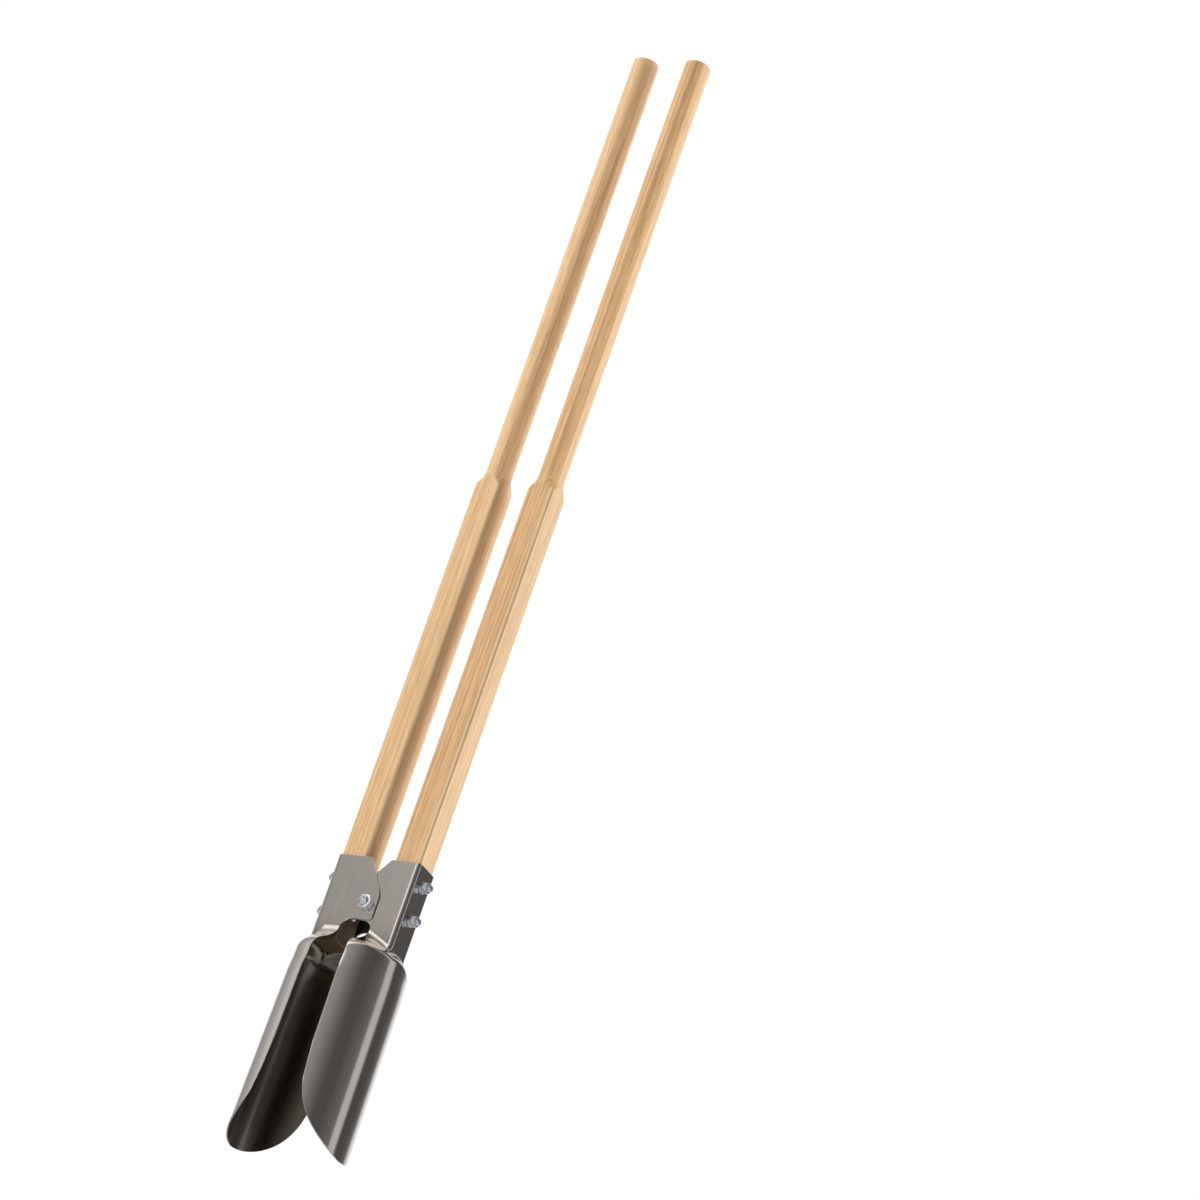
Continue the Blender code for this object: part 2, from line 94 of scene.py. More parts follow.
HANDLE_BOLT_RADIUS = 0.0040
HANDLE_THREAD_PITCH = 0.00125
PIVOT_BOLT_RADIUS = 0.0050
PIVOT_THREAD_PITCH = 0.0015
CARRIAGE_HEAD_HEIGHT = 0.0042
CARRIAGE_NECK_LENGTH = 0.0045
PIVOT_HEAD_HEIGHT = 0.0064
THREAD_DEPTH_SHARE = 0.5
NUT_CLEARANCE = 0.00005
CROWN_SHARE = 0.475
CROWN_SLOPE = math.tan(math.radians(30.0))
WASHER_SPLIT = math.radians(10.0)
THREADED_LENGTH = 0.016

# Small roundings and edges, which only the visible meshes have
EDGE_SHARPNESS = 70.0
NECK_SHARPNESS = 260.0
SEAT_EDGE = 0.0008
BORE_CHAMFER = 0.0005
HEX_CORNER_TRIM = 0.0001
CROWN_EDGE_INSET = 0.00015
CROWN_EDGE_RISE = 0.00012
CROWN_BASE_SHARE = 0.6
HEAD_FACE_STEP = 0.0004
SHANK_CLEARANCE = 0.00003
BOLT_SQUARE_CORNER = 1.36
BOLT_SQUARE_SHARPNESS = 60.0
THREAD_LEAD_SHARE = 0.18
GROOVE_FLOOR = 1.25
GROOVE_STEEPNESS = 4.2
WASHER_SPRING = 0.00012
WASHER_CORNER = 0.0003
SPACER_EDGE = 0.0004

# Places and outer sizes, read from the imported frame
PIVOT_X, _, PIVOT_HEIGHT = frame["joints"][0]["pos_m"]
HANDLE_LOW, HANDLE_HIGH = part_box("right_handle")
HALF_WIDTH = (HANDLE_HIGH.x - HANDLE_LOW.x) / 2
HANDLE_X = (HANDLE_HIGH.x + HANDLE_LOW.x) / 2
NEST_OFFSET = (HANDLE_HIGH.y + HANDLE_LOW.y) / 2
SOCKET_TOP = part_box("right_head")[1].z
SEAT_HALF_WIDTH = HALF_WIDTH - GAP
PLATE_MID = HALF_WIDTH + SHEET / 2
FLANGE_MID = HANDLE_X + HALF_WIDTH + SHEET / 2
FLANGE_FLAT = PLATE_MID - FOLD_RADIUS
FOLD_LENGTH = FOLD_RADIUS * math.pi / 2
PLATE_LENGTH = FLANGE_MID - FOLD_RADIUS - THROAT_EDGE
EAR_BOTTOM = SHOULDER_TOP + NOTCH_HEIGHT

# Fineness of the visible meshes
ROUND_STEPS = 48
HOLE_STEPS = 32
FLANGE_STEPS = 10
FOLD_STEPS = 14
PLATE_STEPS = 18
SHOULDER_ROWS = 36
BLADE_ROWS = 34
BLADE_ROW_POWER = 1.5
NOTCH_STEPS = 14
NECK_ROWS = 30
END_ROWS = 8
CORNER_STEPS = 14
HEX_STEPS = 72
WASHER_STEPS = 72
CARRIAGE_HEAD_ROWS = 10
THREAD_ROWS_PER_TURN = 8
FLAT_SHARES = (0.0, 0.22, 0.44, 0.66, 0.82)
EDGE_OFFSETS = [math.radians(step) for step in (-4.0, -2.2, -1.2, -0.5, 0.0, 0.5, 1.2, 2.2, 4.0)]
HEX_CORNER_OFFSETS = [math.radians(step) for step in (-1.6, -0.8, 0.8, 1.6)]
RIM_BEVEL = 0.00035
RIM_BEVEL_SEGMENTS = 2
RIM_BEVEL_ANGLE = math.radians(60.0)
SMOOTH_ANGLE = math.radians(35.0)
PIVOT_DRILL_LENGTH = 0.12
FLANGE_DRILL_LENGTH = 0.03


# Mesh helpers

def finish_mesh(name, shape):
    bmesh.ops.recalc_face_normals(shape, faces=shape.faces)
    mesh = bpy.data.meshes.new(name)
    shape.to_mesh(mesh)
    shape.free()
    mesh.shade_smooth()
    mesh.set_sharp_from_angle(angle=SMOOTH_ANGLE)
    return mesh


def ring_mesh(name, rings, closed=False):
    """Joins equal rings of points; open stacks are capped, closed ones go round a hole."""
    shape = bmesh.new()
    loops = [[shape.verts.new(point) for point in ring] for ring in rings]
    pairs = list(zip(loops, loops[1:]))
    if closed:
        pairs.append((loops[-1], loops[0]))
    for lower, upper in pairs:
        for index in range(len(lower)):
            follower = (index + 1) % len(lower)
            shape.faces.new((lower[index], lower[follower], upper[follower], upper[index]))
    if not closed:
        shape.faces.new(reversed(loops[0]))
        shape.faces.new(loops[-1])
    return finish_mesh(name, shape)


def ring(radius_at, height_at, angles):
    """Points round +Z, whose radius and height may both change with the angle."""
    points = []
    for angle in angles:
        radius = radius_at(angle)
        points.append((radius * math.cos(angle), radius * math.sin(angle), height_at(angle)))
    return points


def circle_ring(radius, height, angles):
    return ring(lambda angle: radius, lambda angle: height, angles)


def even_angles(count):
    return [2 * math.pi * index / count for index in range(count)]


def smooth_min(first, second, sharpness):
    """The smaller of two lengths, with the corner where they meet rounded off."""
    small, large = sorted((first, second))
    return small * (1 + (small / large) ** sharpness) ** (-1 / sharpness)


def polygon_radius(angle, apothem, sides):
    """How far an upright polygon's edge is from its middle, in the direction of the angle."""
    sector = 2 * math.pi / sides
    return apothem / math.cos((angle + sector / 2) % sector - sector / 2)


def new_piece(name, mesh, material, body, nodes, place):
    piece = bpy.data.objects.new(name, mesh)
    piece.data.materials.append(material)
    bpy.context.scene.collection.objects.link(piece)
    piece.matrix_world = place
    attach(piece, body)
    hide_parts(*nodes)
    return piece


def half_frame(side):
    """The frame of one half, whose +X points away from the other half."""
    return Matrix.Rotation(math.pi if side == "left" else 0.0, 4, "Z")


def cut(piece, name, mesh, place):
    """Cuts the mesh out of the piece; gives the cutting tool, which settle removes."""
    tool = bpy.data.objects.new(name, mesh)
    bpy.context.scene.collection.objects.link(tool)
    tool.matrix_world = place
    modifier = piece.modifiers.new(name, "BOOLEAN")
    modifier.operation = "DIFFERENCE"
    modifier.solver = "EXACT"
    modifier.object = tool
    return tool


def settle(piece, tools):
    """Bakes the modifiers into the mesh and removes the cutting tools."""
    bpy.context.view_layer.update()
    graph = bpy.context.evaluated_depsgraph_get()
    mesh = bpy.data.meshes.new_from_object(piece.evaluated_get(graph))
    piece.modifiers.clear()
    piece.data = mesh
    for tool in tools:
        bpy.data.objects.remove(tool, do_unlink=True)


def bar_mesh(name, radius, length, angles):
    return ring_mesh(name, [circle_ring(radius, 0.0, angles), circle_ring(radius, length, angles)])


# Materials: a noise's scales along X, Y and Z are in cycles per metre, and a pair of edges
# is the noise level where a mark starts and where it is full

EVEN = (1.0, 1.0, 1.0)
MIDDLE_EDGES = (0.3, 0.7)
WIDE_EDGES = (0.25, 0.75)

# "right" is the sign that turns the handle's own X and Y into rightwards and backwards
# The last two keys of each handle size its band of painted shade behind the front right corner.
WOODS = {
    "left": {"pale": (0.85, 0.565, 0.300, 1.0), "dark": (0.62, 0.370, 0.170, 1.0),
             "pith": (-0.075, 0.050), "seed": 2.0, "right": -1.0,
             "shade_band_width": 0.0120, "shade_band_strength": 0.38},
    "right": {"pale": (0.79, 0.490, 0.240, 1.0), "dark": (0.52, 0.290, 0.120, 1.0),
              "pith": (0.060, -0.085), "seed": 7.0, "right": 1.0,
              "shade_band_width": 0.0040, "shade_band_strength": 0.75},
}
WANDER_SCALES = (9.0, 9.0, 1.3)
FIBRE_SCALES = (520.0, 520.0, 30.0)
STRAND_SCALES = (300.0, 300.0, 4.5)
WOOD_CLOUD_SCALES = (22.0, 22.0, 2.4)
PORE_SCALES = (2400.0, 2400.0, 90.0)
PORE_EDGES = (0.60, 0.74)
TONE_EDGES = (0.46, 0.80)
PORE_COLOUR = (0.30, 0.16, 0.07, 1.0)
# Painted shade: the brown of the band behind each handle's front right corner.
PAINTED_CORNER_SHADE_COLOUR = (0.40, 0.24, 0.115, 1.0)
# Painted highlight: the pale line on each handle's front right corner.
PAINTED_HIGHLIGHT_COLOUR = (0.95, 0.76, 0.50, 1.0)
# Painted light: the paler wood where a handle's surface faces right.
PAINTED_SIDE_LIGHT_COLOUR = (0.86, 0.72, 0.56, 1.0)
# Painted shade: the near-black brown of the wood's foot inside the socket.
SOCKET_SHADE_COLOUR = (0.045, 0.027, 0.012, 1.0)
RINGS_PER_METRE = 300.0
RING_LEAN = 0.004
RING_BEND = 0.016
LATE_WOOD_POWER = 2.6
LATE_SHARE = 0.14
STRAND_SHARE = 0.50
FIBRE_SHARE = 0.50
CLOUD_SHARE = 0.20
PORE_STRENGTH = 0.22
# Where the band of painted shade behind the front right corner lies.
BAND_START = 0.0022
BAND_SIDE_EDGES = (HALF_WIDTH - 0.0030, HALF_WIDTH - 0.0012)
BAND_TOP_HEIGHTS = (SQUARE_TOP - 0.004, SQUARE_TOP + 0.010)
# Strength and place of the painted highlight on the front right corner.
PAINTED_HIGHLIGHT_STRENGTH = 0.5
PAINTED_HIGHLIGHT_SIDE_EDGES = (HALF_WIDTH - 0.0052, HALF_WIDTH - 0.0030)
PAINTED_HIGHLIGHT_FRONT_EDGES = (0.0008, 0.0026)
# Painted light on right-facing surfaces: its strength, and the facing where it starts and is full.
PAINTED_SIDE_LIGHT_STRENGTH = 0.20
PAINTED_SIDE_LIGHT_FACING = (0.80, 0.985)
# Painted shade low on the handle: its strength, and the heights where it is full and where it
# ends.
SOCKET_SHADE_STRENGTH = 0.80
SOCKET_SHADE_HEIGHTS = (0.292, 0.318)
WOOD_ROUGHNESS = (0.34, 0.46)
FIBRE_RELIEF = 0.6
WOOD_BUMP = {"strength": 0.16, "distance": 0.0001}

STEEL_OUTER = ((0.530, 0.490, 0.455, 1.0), (0.575, 0.535, 0.498, 1.0))
# Painted shade: the darker colours of the sheet's inner side, in the hollow of the channel and the
# blade.
STEEL_INNER_SHADE = ((0.165, 0.148, 0.125, 1.0), (0.225, 0.205, 0.172, 1.0))
ROLLING_SCALES = (900.0, 900.0, 14.0)
STEEL_CLOUD_SCALES = (26.0, 26.0, 16.0)
SCUFF_SCALES = (420.0, 60.0, 60.0)
SCUFF_EDGES = (0.66, 0.80)
SPECK_SCALE = 850.0
SPECK_EDGES = (0.66, 0.76)
ROLLING_SHARE = 0.45
STEEL_CLOUD_SHARE = 0.55
ROLLING_RELIEF = 0.5
SPECK_RELIEF = 0.25
STEEL_BUMP = {"strength": 0.03, "distance": 0.00004}
INNER_SIDE_EDGES = (-0.012, -0.004)
STEEL_SPECK_COLOUR = (0.30, 0.27, 0.23, 1.0)
STEEL_SPECK_STRENGTH = 0.08
STEEL_ROUGHNESS = (0.130, 0.150)
STEEL_MATT_HEIGHTS = (0.252, 0.292)
STEEL_MATT_ROUGHNESS = 0.070
STEEL_SCUFF_ROUGHNESS = 0.03
STEEL_INNER_ROUGHNESS = 0.12

ZINC_COLOURS = ((0.44, 0.46, 0.49, 1.0), (0.74, 0.76, 0.80, 1.0))
ZINC_ROUGHNESS = (0.18, 0.30)
MOTTLE_SCALE = 420.0
ZINC_GRAIN_SCALE = 2600.0
ZINC_GRAIN_OFFSET = (0.3, 0.1, 0.7)
ZINC_BUMP = {"strength": 0.12, "distance": 0.00006}


def add_node(tree, kind, settings=None, **inputs):
    """A node with its inputs linked or set; i0, i1 and so on name an input by its number."""
    node = tree.nodes.new(kind)
    for key, value in (settings or {}).items():
        setattr(node, key, value)
    for key, value in inputs.items():
        numbered = key[0] == "i" and key[1:].isdigit()
        socket = node.inputs[int(key[1:])] if numbered else node.inputs[key.replace("_", " ")]
        if isinstance(value, bpy.types.NodeSocket):
            tree.links.new(value, socket)
        else:
            socket.default_value = value
    return node


def math_node(tree, operation, first, second=0.0):
    node = add_node(tree, "ShaderNodeMath", {"operation": operation}, i0=first, i1=second)
    return node.outputs[0]


def plus(tree, total, *others):
    for other in others:
        total = math_node(tree, "ADD", total, other)
    return total


def times(tree, product, *others):
    for other in others:
        product = math_node(tree, "MULTIPLY", product, other)
    return product


def remap(tree, value, low, high, new_low, new_high):
    """Turns low to high into the new range along a smooth step, with no overshoot."""
    node = add_node(tree, "ShaderNodeMapRange", {"interpolation_type": "SMOOTHSTEP"},
                    i0=value, i1=low, i2=high, i3=new_low, i4=new_high)
    return node.outputs[0]


def blend_colour(tree, share, first, second):
    node = add_node(tree, "ShaderNodeMix", {"data_type": "RGBA"}, i0=share, i6=first, i7=second)
    return node.outputs[2]


def coordinates(tree, kind):
    """Where a point is ("Object") and which way its surface faces ("Normal"), in the piece's
    own frame, or the direction in which the world is seen ("Generated")."""
    where = tree.nodes.get("where") or add_node(tree, "ShaderNodeTexCoord", {"name": "where"})
    return where.outputs[kind]


def split(tree, kind):
    """The X, Y and Z of those coordinates."""
    return add_node(tree, "ShaderNodeSeparateXYZ", Vector=coordinates(tree, kind)).outputs


def noise(tree, scales, detail, roughness=0.5, offset=(0.0, 0.0, 0.0), fineness=1.0):
    drawn_out = add_node(tree, "ShaderNodeMapping", Vector=coordinates(tree, "Object"),
                         Scale=scales, Location=offset)
    node = add_node(tree, "ShaderNodeTexNoise", Vector=drawn_out.outputs[0], Scale=fineness,
                    Detail=detail, Roughness=roughness)
    return node.outputs[0]


def bump(tree, height, strength, distance):
    node = add_node(tree, "ShaderNodeBump", Height=height, Strength=strength, Distance=distance)
    return node.outputs[0]


def new_material(name):
    material = bpy.data.materials.new(name)
    material.use_nodes = True
    tree = material.node_tree
    return material, tree, tree.nodes["Principled BSDF"]


def link_surface(tree, shader, colour, roughness, normal):
    tree.links.new(colour, shader.inputs["Base Color"])
    tree.links.new(roughness, shader.inputs["Roughness"])
    tree.links.new(normal, shader.inputs["Normal"])


def late_wood(tree, place, wood):
    """The dark end of each year's growth ring, round a pith that lies outside the handle."""
    wander = noise(tree, WANDER_SCALES, 2.0, offset=(wood["seed"], 0.0, 0.0))
    across_x = math_node(tree, "SUBTRACT", place[0], wood["pith"][0])
    across_y = math_node(tree, "SUBTRACT", place[1], wood["pith"][1])
    squares = plus(tree, times(tree, across_x, across_x), times(tree, across_y, across_y))
    distance = math_node(tree, "SQRT", squares)
    lean = times(tree, place[2], RING_LEAN)
    bend = times(tree, wander, RING_BEND)
    years = times(tree, plus(tree, distance, lean, bend), RINGS_PER_METRE)
    return math_node(tree, "POWER", math_node(tree, "FRACT", years), LATE_WOOD_POWER)


def right_side_painted_light(tree, place, wood, colour):
    """On the square part: a brown band of painted shade behind the front right corner, a pale line
    of painted highlight on that corner, and paler wood where the surface faces right, as painted
    light."""
    rightwards = times(tree, place[0], wood["right"])
    inset = plus(tree, times(tree, place[1], wood["right"]), HALF_WIDTH)
    square_part = remap(tree, place[2], *BAND_TOP_HEIGHTS, 1.0, 0.0)
    # Painted shade: a brown band on the right side face, strongest just behind the front corner.
    near = remap(tree, inset, BAND_START, wood["shade_band_width"], 1.0, 0.0)
    on_side = remap(tree, rightwards, *BAND_SIDE_EDGES, 0.0, 1.0)
    band = times(tree, near, on_side, square_part, wood["shade_band_strength"])
    colour = blend_colour(tree, band, colour, PAINTED_CORNER_SHADE_COLOUR)
    # Painted highlight: a pale line on the front face, just before the front right corner.
    at_corner = remap(tree, rightwards, *PAINTED_HIGHLIGHT_SIDE_EDGES, 0.0, PAINTED_HIGHLIGHT_STRENGTH)
    at_front = remap(tree, inset, *PAINTED_HIGHLIGHT_FRONT_EDGES, 1.0, 0.0)
    corner_highlight = times(tree, at_corner, at_front, square_part)
    colour = blend_colour(tree, corner_highlight, colour, PAINTED_HIGHLIGHT_COLOUR)
    # Painted light: paler wood on the faces turned to the right.
    sideways = times(tree, split(tree, "Normal")[0], wood["right"])
    side_light = remap(tree, sideways, *PAINTED_SIDE_LIGHT_FACING, 0.0, PAINTED_SIDE_LIGHT_STRENGTH)
    return blend_colour(tree, side_light, colour, PAINTED_SIDE_LIGHT_COLOUR)


def wood_material(side):
    """Straight-grained varnished hardwood: growth rings, strands, fibres and pores, with painted
    light and shade on the right side and painted shade low down in the socket.
    """
    wood = WOODS[side]
    seed = wood["seed"]
    material, tree, shader = new_material(f"{side}_wood_looks")
    place = split(tree, "Object")
    late = late_wood(tree, place, wood)
    fibres = noise(tree, FIBRE_SCALES, 4.0, 0.65, (0.0, seed, 0.0))
    strands = noise(tree, STRAND_SCALES, 3.0, offset=(seed, seed, 0.0))
    clouds = noise(tree, WOOD_CLOUD_SCALES, 2.0, offset=(0.0, 0.0, seed))
    pores = remap(tree, noise(tree, PORE_SCALES, 2.0), *PORE_EDGES, 0.0, 1.0)
    tone = plus(tree, times(tree, late, LATE_SHARE), times(tree, strands, STRAND_SHARE),
                times(tree, fibres, FIBRE_SHARE), times(tree, clouds, CLOUD_SHARE))
    tone = remap(tree, tone, *TONE_EDGES, 0.0, 1.0)
    colour = blend_colour(tree, tone, wood["pale"], wood["dark"])
    colour = blend_colour(tree, times(tree, pores, PORE_STRENGTH), colour, PORE_COLOUR)
    colour = right_side_painted_light(tree, place, wood, colour)
    # Painted shade: the wood darkens towards its foot, inside the socket.
    socket_shade = remap(tree, place[2], *SOCKET_SHADE_HEIGHTS, SOCKET_SHADE_STRENGTH, 0.0)
    colour = blend_colour(tree, socket_shade, colour, SOCKET_SHADE_COLOUR)
    roughness = remap(tree, fibres, *WIDE_EDGES, *WOOD_ROUGHNESS)
    relief = math_node(tree, "SUBTRACT", times(tree, fibres, FIBRE_RELIEF), pores)
    link_surface(tree, shader, colour, roughness, bump(tree, relief, **WOOD_BUMP))
    shader.inputs["Specular IOR Level"].default_value = 0.45
    shader.inputs["Coat Weight"].default_value = 0.30
    shader.inputs["Coat Roughness"].default_value = 0.22
    return material


def inner_side(tree, place):
    """1 on the sheet's inner side, which faces the middle of the channel and of the blade."""
    facing = split(tree, "Normal")
    out_x = math_node(tree, "SUBTRACT", place[0], BLADE_TIP_X - BLADE_RADIUS)
    outward = plus(tree, times(tree, out_x, facing[0]), times(tree, place[1], facing[1]))
    return remap(tree, outward, *INNER_SIDE_EDGES, 1.0, 0.0)


def steel_material():
    """Rolled sheet under a warm clear lacquer: fine rolling lines, faint clouds, light scuffs, and
    painted shade on the inner side.
    """
    material, tree, shader = new_material("lacquered_steel_looks")
    place = split(tree, "Object")
    inside = inner_side(tree, place)
    rolling = noise(tree, ROLLING_SCALES, 4.0, 0.6)
    clouds = noise(tree, STEEL_CLOUD_SCALES, 3.0)
    specks = remap(tree, noise(tree, EVEN, 2.0, fineness=SPECK_SCALE), *SPECK_EDGES, 0.0, 1.0)
    scuffs = remap(tree, noise(tree, SCUFF_SCALES, 5.0, 0.7), *SCUFF_EDGES, 0.0, 1.0)
    tone = plus(tree, times(tree, rolling, ROLLING_SHARE), times(tree, clouds, STEEL_CLOUD_SHARE))
    tone = remap(tree, tone, *MIDDLE_EDGES, 0.0, 1.0)
    colour = blend_colour(tree, tone, *STEEL_OUTER)
    speckled = times(tree, specks, STEEL_SPECK_STRENGTH)
    colour = blend_colour(tree, speckled, colour, STEEL_SPECK_COLOUR)
    # Painted shade: the inner side takes the darker colours.
    colour = blend_colour(tree, inside, colour, blend_colour(tree, tone, *STEEL_INNER_SHADE))
    roughness = plus(tree, remap(tree, rolling, *MIDDLE_EDGES, *STEEL_ROUGHNESS),
                     remap(tree, place[2], *STEEL_MATT_HEIGHTS, 0.0, STEEL_MATT_ROUGHNESS),
                     times(tree, scuffs, STEEL_SCUFF_ROUGHNESS),
                     times(tree, inside, STEEL_INNER_ROUGHNESS))
    relief = plus(tree, times(tree, rolling, ROLLING_RELIEF), times(tree, specks, SPECK_RELIEF))
    link_surface(tree, shader, colour, roughness, bump(tree, relief, **STEEL_BUMP))
    shader.inputs["Metallic"].default_value = 1.0
    shader.inputs["Coat Weight"].default_value = 0.12
    shader.inputs["Coat Roughness"].default_value = 0.06
    shader.inputs["Coat Tint"].default_value = (1.0, 0.96, 0.90, 1.0)
    return material


def zinc_material():
    """Bright zinc plate with a cool tint, slightly mottled."""
    material, tree, shader = new_material("zinc_plate_looks")
    mottle = noise(tree, EVEN, 4.0, 0.6, fineness=MOTTLE_SCALE)
    grain = noise(tree, EVEN, 3.0, 0.6, ZINC_GRAIN_OFFSET, ZINC_GRAIN_SCALE)
    colour = blend_colour(tree, remap(tree, mottle, *MIDDLE_EDGES, 0.0, 1.0), *ZINC_COLOURS)
    roughness = remap(tree, mottle, *WIDE_EDGES, *ZINC_ROUGHNESS)
    link_surface(tree, shader, colour, roughness, bump(tree, grain, **ZINC_BUMP))
    shader.inputs["Metallic"].default_value = 0.92
    return material


# Handles

def square_radius(angle, half_width):
    corner_flat = (2 * half_width - SQUARE_CHAMFER) / math.sqrt(2)
    square = polygon_radius(angle, half_width, 4)
    corner = polygon_radius(angle - math.pi / 4, corner_flat, 4)
    return smooth_min(square, corner, EDGE_SHARPNESS)


def handle_angles():
    """Directions round the handle, closer together at the eight chamfer edges."""
    edge = math.atan2(HALF_WIDTH - SQUARE_CHAMFER, HALF_WIDTH)
    eighth = [edge * share for share in FLAT_SHARES] + [edge + offset for offset in EDGE_OFFSETS]
    quarter = eighth + [math.pi / 4] + [math.pi / 2 - angle for angle in reversed(eighth[1:])]
    return [side * math.pi / 2 + angle for side in range(4) for angle in quarter]


def square_ring(half_width, height, angles):
    return ring(lambda angle: square_radius(angle, half_width), lambda angle: height, angles)


def neck_ring(rise, angles):
    """A ring of the neck, square at its foot and round at its top."""
    turned = ROUND_RADIUS + (NECK_CORNER_RADIUS - ROUND_RADIUS) * (1 - rise) ** NECK_POWER

    def outline(angle):
        return smooth_min(square_radius(angle, HALF_WIDTH), turned, NECK_SHARPNESS)
    return ring(outline, lambda angle: SQUARE_TOP + rise * NECK_LENGTH, angles)


def handle_mesh():
    angles = handle_angles()
    bottom = HANDLE_LOW.z
    seat_top = SOCKET_TOP + GAP
    rings = [
        square_ring(SEAT_HALF_WIDTH - SEAT_EDGE, bottom, angles),
        square_ring(SEAT_HALF_WIDTH, bottom + SEAT_EDGE, angles),
        square_ring(SEAT_HALF_WIDTH, seat_top, angles),
        square_ring(HALF_WIDTH, seat_top, angles),
        square_ring(HALF_WIDTH, SQUARE_TOP, angles),
    ]
    rings += [neck_ring(row / NECK_ROWS, angles) for row in range(1, NECK_ROWS + 1)]
    for row in range(END_ROWS + 1):
        angle = math.pi / 2 * row / END_ROWS
        radius = ROUND_RADIUS - END_ROUNDING * (1 - math.cos(angle))
        height = HANDLE_HIGH.z - END_ROUNDING * (1 - math.sin(angle))
        rings.append(circle_ring(radius, height, angles))
    return ring_mesh("handle_wood", rings)


def add_handle(side, material):
    place = half_frame(side) @ Matrix.Translation((HANDLE_X, NEST_OFFSET, 0.0))
    return new_piece(f"{side}_handle_wood", handle_mesh(), material, f"{side}_half",
                     [f"{side}_handle"], place)


# Heads: one sheet, modelled as columns of points that run from the socket's top to the
# cutting edge. A column is named by its distance round the channel from the middle of the
# flange, or by the fraction of the way to the plate's edge: minus is the inner plate's side.

def tip_rise(fraction):
    """How high the cutting edge is: a point in the middle, steep towards the rims."""
    hollow = (1 - abs(fraction) ** CUTTING_EDGE_POINT_POWER) ** CUTTING_EDGE_SIDE_POWER
    return CUTTING_EDGE_HEIGHT * (1 - hollow)


def socket_point(distance):
    """The channel's cross-section: flange, fold and plate."""
    side = math.copysign(1.0, distance)
    run = abs(distance)
    if run <= FLANGE_FLAT:
        return FLANGE_MID, side * run
    if run <= FLANGE_FLAT + FOLD_LENGTH:
        angle = (run - FLANGE_FLAT) / FOLD_RADIUS
        x = FLANGE_MID - FOLD_RADIUS * (1 - math.cos(angle))
        return x, side * (FLANGE_FLAT + FOLD_RADIUS * math.sin(angle))
    return FLANGE_MID - FOLD_RADIUS - (run - FLANGE_FLAT - FOLD_LENGTH), side * PLATE_MID


def column_distances():
    columns = [FLANGE_FLAT * step / FLANGE_STEPS for step in range(FLANGE_STEPS)]
    columns += [FLANGE_FLAT + FOLD_LENGTH * step / FOLD_STEPS for step in range(FOLD_STEPS)]
    columns += [FLANGE_FLAT + FOLD_LENGTH + PLATE_LENGTH * step / PLATE_STEPS
                for step in range(PLATE_STEPS + 1)]
    return [-distance for distance in reversed(columns[1:])] + columns


def blade_point(fraction, height):
    """The blade's cross-section, an arc that moves in a little with height."""
    angle = fraction * BLADE_HALF_ANGLE
    centre = BLADE_TIP_X - BLADE_RADIUS - height * math.tan(BLADE_TILT)
    return centre + BLADE_RADIUS * math.cos(angle), BLADE_RADIUS * math.sin(angle)


def ramp(value):
    """0 to 1 along a straight slope between two rounded bends."""
    first = TOP_BEND_SHARE
    last = BOTTOM_BEND_SHARE
    slope = 1 / (1 - first / 2 - last / 2)
    if value < first:
        return slope * value * value / (2 * first)
    if value > 1 - last:
        return 1 - slope * (1 - value) * (1 - value) / (2 * last)
    return slope * (value - first / 2)


def shoulder_top(distance):
    """Where the sheet starts to swell out: quickly higher past the outer plate's fold, and
    evenly higher across the inner plate."""
    if distance > 0:
        past_fold = distance - FLANGE_FLAT - FOLD_LENGTH
        share = ramp(min(1.0, max(0.0, past_fold / OUTER_RAMP_LENGTH)))
    else:
        share = max(0.0, -distance - FLANGE_FLAT) / (PLATE_LENGTH + FOLD_LENGTH)
    return FLANGE_SHOULDER_TOP + (SHOULDER_TOP - FLANGE_SHOULDER_TOP) * share


def shoulder_bottom(fraction):
    """Where the sheet has become the blade: the ridge round the blade's top."""
    plate = PLATE_SHOULDER_DROP * ramp(min(1.0, abs(fraction) / PLATE_DROP_FRACTION))
    droop = RIM_SHOULDER_DROP * abs(fraction) ** RIM_SHOULDER_POWER
    return SHOULDER_BOTTOM - SHOULDER_LEAN * fraction - plate - droop


def swell(offset):
    """A smooth hump, 1 at no offset and 0 from an offset of 1."""
    return max(0.0, 1 - offset * offset) ** 2


def head_rows(distance, longest):
    """One column of the head, from the socket's top down to the cutting edge."""
    fraction = distance / longest
    start = shoulder_top(distance)
    end = shoulder_bottom(fraction)
    socket_x, socket_y = socket_point(distance)
    heights = [start + (end - start) * row / SHOULDER_ROWS for row in range(SHOULDER_ROWS)]
    lowest = tip_rise(fraction)
    heights += [end + (lowest - end) * (row / BLADE_ROWS) ** BLADE_ROW_POWER
                for row in range(BLADE_ROWS + 1)]
    points = [(socket_x, socket_y, SOCKET_TOP)]
    for height in heights:
        share = ramp(min(1.0, (start - height) / (start - end)))
        share *= 1 - RIDGE_SWELL * swell((height - end) / RIDGE_SWELL_REACH)
        blade_x, blade_y = blade_point(fraction, height)
        x = socket_x + (blade_x - socket_x) * share
        y = socket_y + (blade_y - socket_y) * share
        points.append((x, y, height))
    return points


